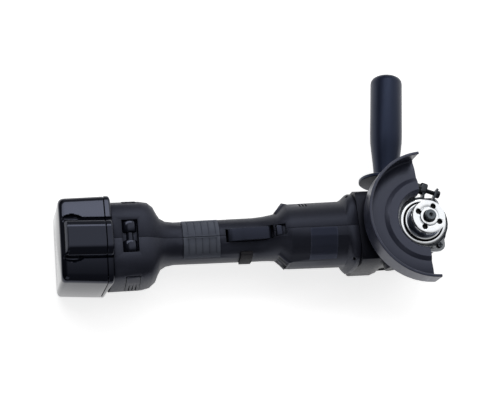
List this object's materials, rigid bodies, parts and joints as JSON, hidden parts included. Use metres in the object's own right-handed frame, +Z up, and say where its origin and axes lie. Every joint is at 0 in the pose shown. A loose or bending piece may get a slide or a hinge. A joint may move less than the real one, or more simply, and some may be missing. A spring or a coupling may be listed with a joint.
{
  "type": "angle grinder",
  "caption": "Cordless paddle-switch angle grinder with a half guard, side handle, slide-on battery and a geared right-angle spindle.",
  "frame": {"origin": "middle of the bounding box, on the plane the tool lies on", "axes": "+X forward to the gear case, +Y to the side handle, +Z up, out of the spindle"},
  "size_m": [0.3516, 0.2068, 0.0931],
  "materials": {
    "moulded_plastic": "fine grain",
    "switch_plastic": "smooth",
    "soft_grip": "matte",
    "pack_plastic": "polished",
    "painted_casting": "satin",
    "painted_sheet": "satin",
    "bare_casting": "machined and cast",
    "bright_steel": "turned and polished",
    "dark_steel": "blackened",
    "copper": "bare",
    "carbon": "pressed carbon",
    "ferrite": "pressed ferrite",
    "cell_wrap": "foil pouch"
  },
  "bodies": {
    "body": {"terminal_block": "moulded_plastic", "terminal_blade_1": "copper", "terminal_blade_2": "copper", "terminal_blade_3": "copper", "housing_right": "moulded_plastic", "housing_left": "moulded_plastic", "grip_pad_right": "soft_grip", "grip_pad_left": "soft_grip", "trigger_pin": "bright_steel", "switch_body": "switch_plastic", "strap_lug": "moulded_plastic", "motor_can": "dark_steel", "magnet_right": "ferrite", "magnet_left": "ferrite", "brush_right": "carbon", "brush_left": "carbon", "motor_bearing_rear": "bright_steel", "motor_bearing_front": "bright_steel", "spindle_bearing_upper": "bright_steel", "spindle_bearing_lower": "bright_steel", "gear_case": "painted_casting", "bearing_box": "bare_casting", "neck_ring": "bright_steel", "box_screw_1": "bare_casting", "box_screw_2": "bare_casting", "box_screw_3": "bare_casting", "box_screw_4": "bare_casting", "case_screw_back_right": "dark_steel", "case_screw_back_left": "dark_steel", "case_screw_front_right": "dark_steel", "case_screw_front_left": "dark_steel"},
    "rotor": {"motor_shaft": "bright_steel", "laminations": "dark_steel", "commutator": "copper", "fan": "moulded_plastic", "pinion": "bright_steel"},
    "spindle_unit": {"spindle": "dark_steel", "crown_gear": "bright_steel", "inner_flange": "bright_steel"},
    "nut": {"lock_nut": "bright_steel"},
    "guard_unit": {"guard": "painted_sheet", "guard_band": "dark_steel", "clamp_nut": "dark_steel"},
    "clamp": {"clamp_screw": "dark_steel"},
    "side_handle": {"side_handle_grip": "moulded_plastic", "side_handle_stud": "bright_steel"},
    "trigger": {"trigger_paddle": "moulded_plastic"},
    "lock_off": {"lock_off_tab": "moulded_plastic"},
    "side_button": {"side_lock_button": "moulded_plastic"},
    "spindle_lock": {"spindle_lock_button": "moulded_plastic"},
    "battery": {"battery_case": "pack_plastic", "battery_lid": "pack_plastic", "cell_1": "cell_wrap", "cell_2": "cell_wrap", "cell_3": "cell_wrap", "cell_4": "cell_wrap", "cell_5": "cell_wrap"},
    "release_right": {"release_button_right": "moulded_plastic"},
    "release_left": {"release_button_left": "moulded_plastic"}
  },
  "joints": [
    {"name": "rotor_spin", "type": "hinge", "parent": "body", "child": "rotor", "pos_m": [0.04884, -0.0459, 0.0361], "axis": [1, 0, 0], "continuous": true},
    {"name": "spindle_spin", "type": "hinge", "parent": "body", "child": "spindle_unit", "pos_m": [0.14884, -0.0459, 0.06], "axis": [0, 0, 1], "continuous": true},
    {"name": "lock_nut_off", "type": "slide", "parent": "spindle_unit", "child": "nut", "axis": [0, 0, 1], "range_m": [0, 0.0125]},
    {"name": "guard_turn", "type": "hinge", "parent": "body", "child": "guard_unit", "pos_m": [0.14884, -0.0459, 0.062], "axis": [0, 0, 1], "range_deg": [-70, 50]},
    {"name": "clamp_screw_turn", "type": "hinge", "parent": "guard_unit", "child": "clamp", "pos_m": [0.15995, -0.01696, 0.0619], "axis": [0.9336, -0.3584, 0], "range_deg": [0, 180]},
    {"name": "side_handle_off", "type": "slide", "parent": "body", "child": "side_handle", "axis": [0.1392, 0.9903, 0], "range_m": [0, 0.012]},
    {"name": "trigger_pull", "type": "hinge", "parent": "body", "child": "trigger", "pos_m": [-0.02266, -0.0459, 0.0435], "axis": [0, 1, 0], "range_deg": [0, 7], "stiffness_Nm_per_rad": 1.5, "springref_deg": -6.88},
    {"name": "lock_off_slide", "type": "slide", "parent": "body", "child": "lock_off", "axis": [1, 0, 0], "range_m": [0, 0.0036], "stiffness_N_per_m": 600, "springref_m": -0.003},
    {"name": "side_button_push", "type": "slide", "parent": "body", "child": "side_button", "axis": [0, 1, 0], "range_m": [0, 0.0025], "stiffness_N_per_m": 800, "springref_m": -0.002},
    {"name": "spindle_lock_push", "type": "slide", "parent": "body", "child": "spindle_lock", "axis": [0, 0, 1], "range_m": [0, 0.0038], "stiffness_N_per_m": 900, "springref_m": -0.003},
    {"name": "battery_off", "type": "slide", "parent": "body", "child": "battery", "axis": [-0.9945, 0, 0.1045], "range_m": [0, 0.025]},
    {"name": "release_right_push", "type": "slide", "parent": "body", "child": "release_right", "axis": [0, 1, 0], "range_m": [0, 0.0025], "stiffness_N_per_m": 1200, "springref_m": -0.002},
    {"name": "release_left_push", "type": "slide", "parent": "body", "child": "release_left", "axis": [0, -1, 0], "range_m": [0, 0.0025], "stiffness_N_per_m": 1200, "springref_m": -0.002}
  ],
  "couplings": [
    {"joint": "spindle_spin", "follows": "rotor_spin", "ratio": 0.25}
  ]
}
